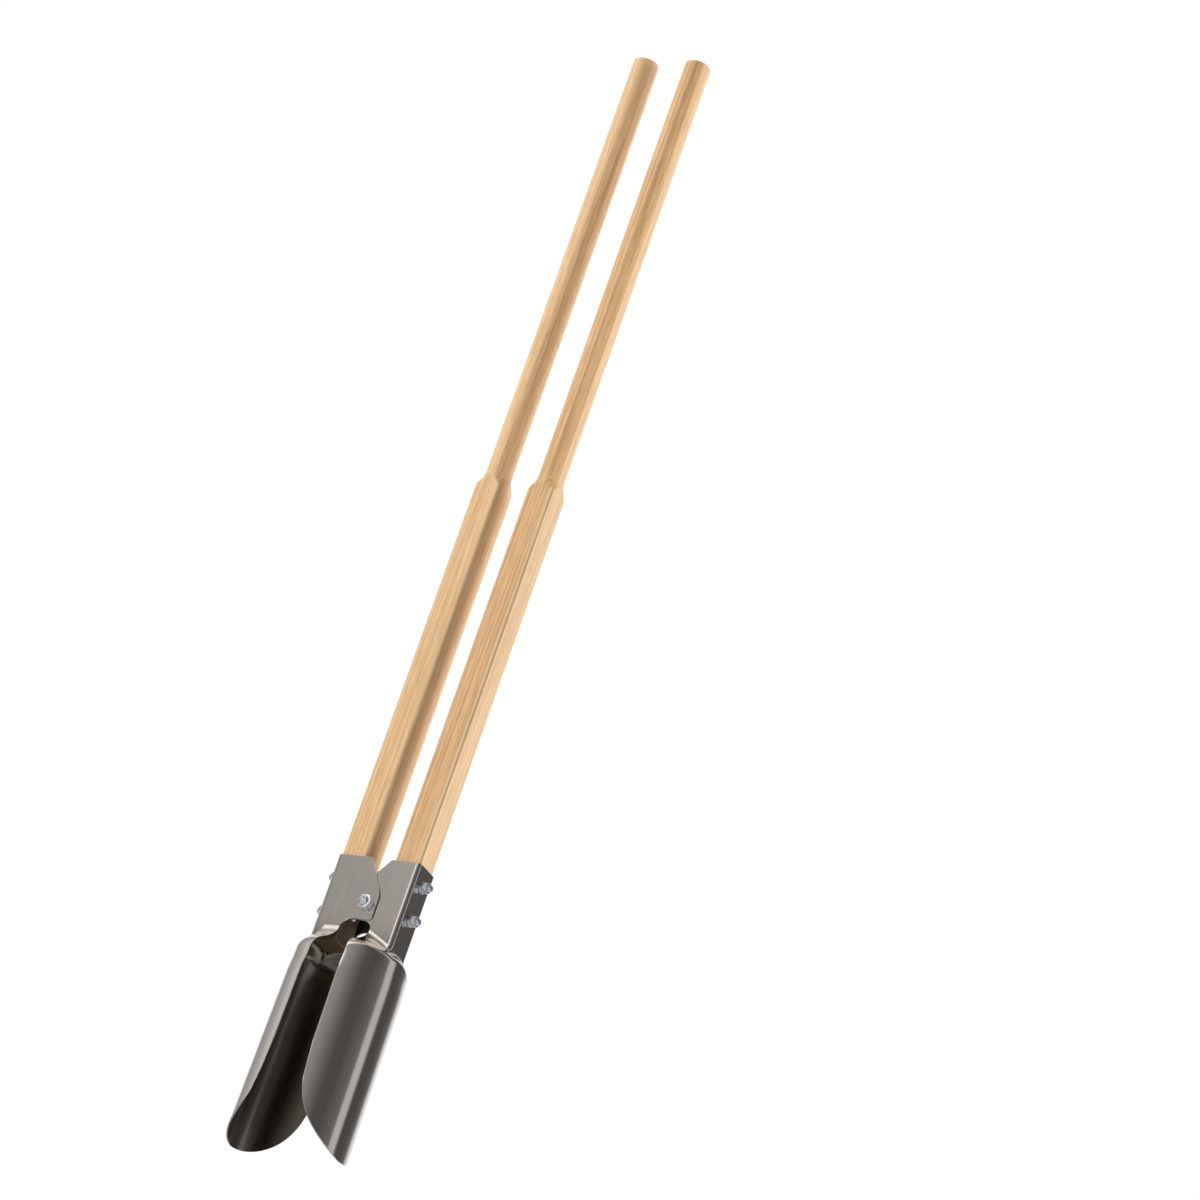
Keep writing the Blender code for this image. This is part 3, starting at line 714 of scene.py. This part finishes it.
def round_corner(before, corner, after, radius):
    """The arc that rounds off a corner between two straight edges."""
    towards_before = math.atan2(before[1] - corner[1], before[0] - corner[0])
    towards_after = math.atan2(after[1] - corner[1], after[0] - corner[0])
    opening = (towards_after - towards_before + math.pi) % (2 * math.pi) - math.pi
    half = opening / 2
    reach = radius / abs(math.tan(half))
    middle = towards_before + half
    depth = radius / abs(math.sin(half))
    centre = (corner[0] + depth * math.cos(middle), corner[1] + depth * math.sin(middle))
    start = math.atan2(corner[1] + reach * math.sin(towards_before) - centre[1],
                       corner[0] + reach * math.cos(towards_before) - centre[0])
    end = math.atan2(corner[1] + reach * math.sin(towards_after) - centre[1],
                     corner[0] + reach * math.cos(towards_after) - centre[0])
    sweep = (end - start + math.pi) % (2 * math.pi) - math.pi
    angles = [start + sweep * step / CORNER_STEPS for step in range(CORNER_STEPS + 1)]
    return [(centre[0] + radius * math.cos(angle), centre[1] + radius * math.sin(angle))
            for angle in angles]


def ear_outline(ear):
    """From the channel's mouth over the ear's slope, back and toe into the notch below it."""
    top = (ear["mouth"], SOCKET_TOP)
    drop = (ear["mouth"] + ear["reach"]) / math.tan(ear["slope"])
    back = (-ear["reach"], SOCKET_TOP - drop)
    bottom = (-ear["reach"], EAR_BOTTOM)
    notch = (THROAT_EDGE - NOTCH_WIDTH, EAR_BOTTOM)
    outline = round_corner((THROAT_EDGE, SOCKET_TOP), top, back, MOUTH_CORNER_RADIUS)
    outline += round_corner(top, back, bottom, ear["back_radius"])
    outline += round_corner(back, bottom, notch, ear["toe_radius"])
    for step in range(NOTCH_STEPS):
        angle = math.pi / 2 * (1 - step / NOTCH_STEPS)
        x = notch[0] + NOTCH_WIDTH * math.cos(angle)
        outline.append((x, SHOULDER_TOP + NOTCH_HEIGHT * math.sin(angle)))
    return outline


def head_mesh():
    """The middle surface of the sheet: the columns, and a flat ear on each plate."""
    shape = bmesh.new()
    distances = column_distances()
    columns = []
    for distance in distances:
        points = head_rows(distance, distances[-1])
        columns.append([shape.verts.new(point) for point in points])
    for left, right in zip(columns, columns[1:]):
        for row in range(len(left) - 1):
            shape.faces.new((left[row], left[row + 1], right[row + 1], right[row]))
    for column, plate_y, ear in ((columns[0], -PLATE_MID, INNER_EAR),
                                 (columns[-1], PLATE_MID, OUTER_EAR)):
        edge = [shape.verts.new((x, plate_y, height)) for x, height in ear_outline(ear)]
        shape.faces.new([column[0]] + edge + [column[1]])
    return finish_mesh("head_sheet", shape)


def add_head(side, material):
    place = half_frame(side) @ Matrix.Translation((0.0, NEST_OFFSET, 0.0))
    head = new_piece(f"{side}_head_steel", head_mesh(), material, f"{side}_half",
                     [f"{side}_head"], place)
    thicken = head.modifiers.new("sheet", "SOLIDIFY")
    thicken.thickness = SHEET
    thicken.offset = 0.0
    thicken.use_even_offset = True
    soften = head.modifiers.new("rim", "BEVEL")
    soften.width = RIM_BEVEL
    soften.segments = RIM_BEVEL_SEGMENTS
    soften.limit_method = "ANGLE"
    soften.angle_limit = RIM_BEVEL_ANGLE
    soften.use_clamp_overlap = False
    soften.miter_outer = "MITER_ARC"
    drill = bar_mesh("pivot_hole", PIVOT_BOLT_RADIUS + GAP, PIVOT_DRILL_LENGTH,
                     even_angles(ROUND_STEPS))
    through = Matrix.Translation((PIVOT_X, PIVOT_DRILL_LENGTH / 2, PIVOT_HEIGHT))
    through = through @ Matrix.Rotation(math.pi / 2, 4, "X")
    tools = [cut(head, f"{side}_pivot_hole", drill, through)]
    for level in ("upper", "lower"):
        low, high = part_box(f"{side}_{level}_nut")
        drill = bar_mesh("flange_hole", HANDLE_BOLT_RADIUS + GAP, FLANGE_DRILL_LENGTH,
                         even_angles(HOLE_STEPS))
        where = Matrix.Translation((0.0, 0.0, (low.z + high.z) / 2)) @ half_frame(side)
        where = where @ Matrix.Translation((HANDLE_X, NEST_OFFSET, 0.0))
        where = where @ Matrix.Rotation(math.pi / 2, 4, "Y")
        tools.append(cut(head, f"{side}_{level}_hole", drill, where))
    settle(head, tools)
    even = head.modifiers.new("flat_plates", "WEIGHTED_NORMAL")
    even.keep_sharp = True
    return head


# Fasteners: each is modelled along +Z and then turned onto its axis

def hex_outline(width):
    """A hexagon across the flats, with its corners trimmed."""
    longest = width / math.sqrt(3) - HEX_CORNER_TRIM
    return lambda angle: min(polygon_radius(angle + math.pi / 6, width / 2, 6), longest)


def hex_crown(width, height):
    """The height of the chamfered top, which falls away towards the corners."""
    outline = hex_outline(width)
    return lambda angle: height - max(0.0, outline(angle) - CROWN_SHARE * width) * CROWN_SLOPE


def hex_angles():
    angles = set(even_angles(HEX_STEPS))
    for corner in range(6):
        for offset in HEX_CORNER_OFFSETS:
            angles.add((corner * math.pi / 3 + offset) % (2 * math.pi))
    return sorted(angles)


def nut_mesh(width, height, bore):
    angles = hex_angles()
    outline = hex_outline(width)
    crown = hex_crown(width, height)
    base = hex_crown(width, 0.0)
    flat = CROWN_SHARE * width
    rings = [
        circle_ring(bore, BORE_CHAMFER, angles),
        circle_ring(bore + BORE_CHAMFER, 0.0, angles),
        circle_ring(flat, 0.0, angles),
        ring(outline, lambda angle: -base(angle) * CROWN_BASE_SHARE, angles),
        ring(outline, crown, angles),
        ring(lambda angle: outline(angle) - CROWN_EDGE_INSET,
             lambda angle: crown(angle) + CROWN_EDGE_RISE, angles),
        circle_ring(flat, height, angles),
        circle_ring(bore + BORE_CHAMFER, height, angles),
        circle_ring(bore, height - BORE_CHAMFER, angles),
    ]
    return ring_mesh("nut", rings, closed=True)


def thread_rings(radius, pitch, start, end, angles):
    """A helical thread whose grooves fade in at the start, and a pointed lead at the end."""
    depth = THREAD_DEPTH_SHARE * pitch
    lead = THREAD_LEAD_SHARE * radius
    count = max(2, round((end - start) / pitch * THREAD_ROWS_PER_TURN))
    rings = []
    for row in range(count + 1):
        height = start + (end - start) * row / count
        fade = min(1.0, (height - start) / pitch)
        taper = max(0.0, height - (end - lead))

        def radius_at(angle):
            turn = (height / pitch - angle / (2 * math.pi)) % 1.0
            groove = min(1.0, max(0.0, GROOVE_FLOOR - abs(turn - 0.5) * GROOVE_STEEPNESS))
            return radius - max(depth * fade * groove, taper)
        rings.append(ring(radius_at, lambda angle: height, angles))
    return rings


def hex_bolt_mesh(width, head_height, radius, pitch, length):
    angles = hex_angles()
    outline = hex_outline(width)
    crown = hex_crown(width, head_height)
    flat = CROWN_SHARE * width
    rings = [
        circle_ring(flat, -head_height, angles),
        ring(lambda angle: outline(angle) - CROWN_EDGE_INSET,
             lambda angle: -crown(angle) - CROWN_EDGE_RISE, angles),
        ring(outline, lambda angle: -crown(angle), angles),
        ring(outline, lambda angle: -HEAD_FACE_STEP, angles),
        circle_ring(flat, -HEAD_FACE_STEP, angles),
        circle_ring(flat, 0.0, angles),
        circle_ring(radius, 0.0, angles),
    ]
    rings += thread_rings(radius, pitch, length - THREADED_LENGTH, length, angles)
    return ring_mesh("hex_bolt", rings)


def carriage_bolt_mesh(head_radius, length):
    """A mushroom head, a square neck and a threaded shank."""
    angles = even_angles(ROUND_STEPS)
    rings = []
    for row in range(1, CARRIAGE_HEAD_ROWS + 1):
        angle = math.pi / 2 * row / CARRIAGE_HEAD_ROWS
        height = -CARRIAGE_HEAD_HEIGHT * math.cos(angle)
        rings.append(circle_ring(head_radius * math.sin(angle), height, angles))

    def square(angle):
        flat = polygon_radius(angle, HANDLE_BOLT_RADIUS, 4)
        return smooth_min(flat, HANDLE_BOLT_RADIUS * BOLT_SQUARE_CORNER, BOLT_SQUARE_SHARPNESS)
    rings.append(ring(square, lambda angle: 0.0, angles))
    rings.append(ring(square, lambda angle: CARRIAGE_NECK_LENGTH, angles))
    shank = HANDLE_BOLT_RADIUS - SHANK_CLEARANCE
    rings.append(circle_ring(shank, CARRIAGE_NECK_LENGTH, angles))
    rings += thread_rings(shank, HANDLE_THREAD_PITCH, length - THREADED_LENGTH, length, angles)
    return ring_mesh("carriage_bolt", rings)


def lock_washer_mesh(bore, radius, thickness):
    """A split ring of rounded square section whose two ends stand slightly apart."""
    corner = WASHER_CORNER
    section = [(bore, corner), (bore + corner, 0.0), (radius - corner, 0.0), (radius, corner),
               (radius, thickness - corner), (radius - corner, thickness),
               (bore + corner, thickness), (bore, thickness - corner)]
    rings = []
    for step in range(WASHER_STEPS + 1):
        share = step / WASHER_STEPS
        angle = WASHER_SPLIT / 2 + (2 * math.pi - WASHER_SPLIT) * share
        lift = WASHER_SPRING * (2 * share - 1)
        rings.append([(r * math.cos(angle), r * math.sin(angle), height + lift)
                      for r, height in section])
    return ring_mesh("lock_washer", rings)


def spacer_mesh(bore, radius, length):
    angles = even_angles(ROUND_STEPS)
    return ring_mesh("spacer", [
        circle_ring(bore, 0.0, angles),
        circle_ring(radius - SPACER_EDGE, 0.0, angles),
        circle_ring(radius, SPACER_EDGE, angles),
        circle_ring(radius, length - SPACER_EDGE, angles),
        circle_ring(radius - SPACER_EDGE, length, angles),
        circle_ring(bore, length, angles),
    ], closed=True)


def add_handle_bolts(side, material):
    """The bolts point outwards from between the handles, with washer and nut outside."""
    turn = half_frame(side) @ Matrix.Rotation(math.pi / 2, 4, "Y")
    outwards = -1.0 if side == "left" else 1.0
    for level in ("upper", "lower"):
        for kind in ("carriage_bolt", "lock_washer", "nut"):
            low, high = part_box(f"{side}_{level}_{kind}")
            middle = (low + high) / 2
            length = high.x - low.x
            width = high.y - low.y
            start = low.x if side == "right" else high.x
            if kind == "carriage_bolt":
                mesh = carriage_bolt_mesh(width / 2, length - CARRIAGE_HEAD_HEIGHT)
                start += outwards * CARRIAGE_HEAD_HEIGHT
            elif kind == "nut":
                mesh = nut_mesh(width, length, HANDLE_BOLT_RADIUS + NUT_CLEARANCE)
            else:
                mesh = lock_washer_mesh(HANDLE_BOLT_RADIUS + GAP, width / 2, length)
            place = Matrix.Translation((start, middle.y, middle.z)) @ turn
            new_piece(f"{side}_{level}_{kind}_zinc", mesh, material, f"{side}_half",
                      [f"{side}_{level}_{kind}"], place)


def add_pivot(material):
    """The bolt points to the front, with the spacer round it and the nut on its end."""
    for kind in ("bolt", "nut", "spacer"):
        low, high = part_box(f"pivot_{kind}")
        width = high.z - low.z
        length = high.y - low.y
        start = high.y
        if kind == "bolt":
            mesh = hex_bolt_mesh(width, PIVOT_HEAD_HEIGHT, PIVOT_BOLT_RADIUS, PIVOT_THREAD_PITCH,
                                 length - PIVOT_HEAD_HEIGHT)
            start -= PIVOT_HEAD_HEIGHT
        elif kind == "nut":
            mesh = nut_mesh(width, length, PIVOT_BOLT_RADIUS + NUT_CLEARANCE)
        else:
            mesh = spacer_mesh(PIVOT_BOLT_RADIUS + GAP, width / 2, length)
        place = Matrix.Translation((PIVOT_X, start, PIVOT_HEIGHT))
        place = place @ Matrix.Rotation(math.pi / 2, 4, "X")
        new_piece(f"pivot_{kind}_zinc", mesh, material, "left_half",
                  [f"pivot_{kind}"], place)


# Camera, floor and light

CAMERA_AZIMUTH = math.radians(34.1668)
CAMERA_ELEVATION = math.radians(-23.3717)
CAMERA_ROLL = math.radians(19.63)
CAMERA_DISTANCE = 7.87625
CAMERA_TARGET = Vector((0.0, 0.0, 0.74))
CAMERA_LENS = 200.72
CAMERA_SENSOR = 36.0
CAMERA_SHIFT = (0.0953, -0.0092)
CAMERA_CLIP_END = 100.0

FLOOR_HALF_WIDTH = 14.0
FLOOR_COLOUR = (0.80, 0.80, 0.80, 1.0)
FLOOR_ROUGHNESS = 0.7

# The studio's walls, by direction round the object: degrees from +X towards +Y, brightness
STUDIO_WALLS = (
    (-180.0, 0.62), (-164.0, 0.95), (-150.0, 0.22), (-122.0, 0.22), (-118.0, 1.70),
    (-98.0, 1.70), (-92.0, 0.47), (-74.0, 0.36), (-60.0, 0.23), (-42.0, 0.12), (-22.0, 0.11),
    (-8.0, 0.16), (12.0, 0.22), (16.0, 0.76), (31.0, 0.78), (34.0, 0.09), (60.0, 0.12),
    (76.0, 0.20), (92.0, 1.02), (142.0, 1.02), (150.0, 0.42), (158.0, 0.42), (180.0, 0.62),
)
# A bright patch overhead: its direction, and the cosines where it starts and is full
TOP_LIGHT = Vector((-0.412, -0.527, 0.743)).normalized()
TOP_LIGHT_COSINES = (0.905, 0.975)
TOP_LIGHT_COLOUR = (1.60, 1.57, 1.50, 1.0)
# Soft panels: name, place, side, power, colour
LAMPS = (
    ("left_panel", (-3.2, -2.4, 2.2), 2.5, 102.0, (1.0, 1.0, 1.0)),
    ("right_panel", (3.2, 1.2, 1.6), 1.5, 122.0, (0.93, 1.00, 1.10)),
)
LAMP_TARGET = Vector((0.0, 0.0, 0.75))


def add_camera():
    """Seen from the front right and from below, with the handles leaning to the right."""
    back = Vector((math.sin(CAMERA_AZIMUTH) * math.cos(CAMERA_ELEVATION),
                   -math.cos(CAMERA_AZIMUTH) * math.cos(CAMERA_ELEVATION),
                   math.sin(CAMERA_ELEVATION)))
    right = Vector((math.cos(CAMERA_AZIMUTH), math.sin(CAMERA_AZIMUTH), 0.0))
    up = back.cross(right)
    across = right * math.cos(CAMERA_ROLL) + up * math.sin(CAMERA_ROLL)
    upright = up * math.cos(CAMERA_ROLL) - right * math.sin(CAMERA_ROLL)
    camera = bpy.data.cameras.new("camera")
    camera.sensor_width = CAMERA_SENSOR
    camera.lens = CAMERA_LENS
    camera.shift_x, camera.shift_y = CAMERA_SHIFT
    camera.clip_end = CAMERA_CLIP_END
    holder = bpy.data.objects.new("camera", camera)
    matrix = Matrix((across, upright, back)).transposed().to_4x4()
    matrix.translation = CAMERA_TARGET + back * CAMERA_DISTANCE
    holder.matrix_world = matrix
    bpy.context.scene.collection.objects.link(holder)
    bpy.context.scene.camera = holder


def add_floor():
    """A pale floor that shows only from above, because the camera looks up from below it."""
    shape = bmesh.new()
    bmesh.ops.create_grid(shape, x_segments=1, y_segments=1, size=FLOOR_HALF_WIDTH)
    mesh = bpy.data.meshes.new("floor")
    shape.to_mesh(mesh)
    shape.free()
    material, tree, shader = new_material("pale_floor")
    shader.inputs["Base Color"].default_value = FLOOR_COLOUR
    shader.inputs["Roughness"].default_value = FLOOR_ROUGHNESS
    side = tree.nodes.new("ShaderNodeNewGeometry")
    clear = tree.nodes.new("ShaderNodeBsdfTransparent")
    both = add_node(tree, "ShaderNodeMixShader", i0=side.outputs["Backfacing"],
                    i1=shader.outputs[0], i2=clear.outputs[0])
    tree.links.new(both.outputs[0], tree.nodes["Material Output"].inputs["Surface"])
    mesh.materials.append(material)
    floor = bpy.data.objects.new("floor", mesh)
    bpy.context.scene.collection.objects.link(floor)


def add_world():
    """Pale walls of uneven brightness, which the steel mirrors, and a bright patch overhead."""
    world = bpy.data.worlds.new("studio")
    bpy.context.scene.world = world
    world.use_nodes = True
    tree = world.node_tree
    background = tree.nodes["Background"]
    direction = coordinates(tree, "Generated")
    apart = split(tree, "Generated")
    turn = math_node(tree, "ARCTAN2", apart[1], apart[0])
    share = add_node(tree, "ShaderNodeMath", {"operation": "MULTIPLY_ADD"}, i0=turn,
                     i1=1 / (2 * math.pi), i2=0.5)
    walls = add_node(tree, "ShaderNodeValToRGB", i0=share.outputs[0])
    stops = walls.color_ramp.elements
    while len(stops) > 1:
        stops.remove(stops[-1])
    for number, (degrees, level) in enumerate(STUDIO_WALLS):
        position = degrees / 360.0 + 0.5
        stop = stops[0] if number == 0 else stops.new(position)
        stop.position = position
        stop.color = (level, level, level, 1.0)
    top = add_node(tree, "ShaderNodeVectorMath", {"operation": "DOT_PRODUCT"}, i0=direction,
                   i1=TOP_LIGHT)
    top_share = remap(tree, top.outputs["Value"], *TOP_LIGHT_COSINES, 0.0, 1.0)
    lit = blend_colour(tree, top_share, walls.outputs[0], TOP_LIGHT_COLOUR)
    tree.links.new(lit, background.inputs["Color"])


def add_lamp(name, place, size, power, colour):
    """A soft panel that lights the wood but isn't mirrored in the steel."""
    lamp = bpy.data.lights.new(name, "AREA")
    lamp.shape = "SQUARE"
    lamp.size = size
    lamp.energy = power
    lamp.color = colour
    holder = bpy.data.objects.new(name, lamp)
    holder.location = place
    holder.rotation_euler = (LAMP_TARGET - Vector(place)).to_track_quat("-Z", "Y").to_euler()
    holder.visible_glossy = False
    holder.visible_camera = False
    bpy.context.scene.collection.objects.link(holder)


def main():
    bpy.context.scene.view_settings.view_transform = "Standard"
    steel = steel_material()
    zinc = zinc_material()
    for side in ("left", "right"):
        add_handle(side, wood_material(side))
        add_head(side, steel)
        add_handle_bolts(side, zinc)
    add_pivot(zinc)
    add_floor()
    add_world()
    for lamp in LAMPS:
        add_lamp(*lamp)
    add_camera()


main()
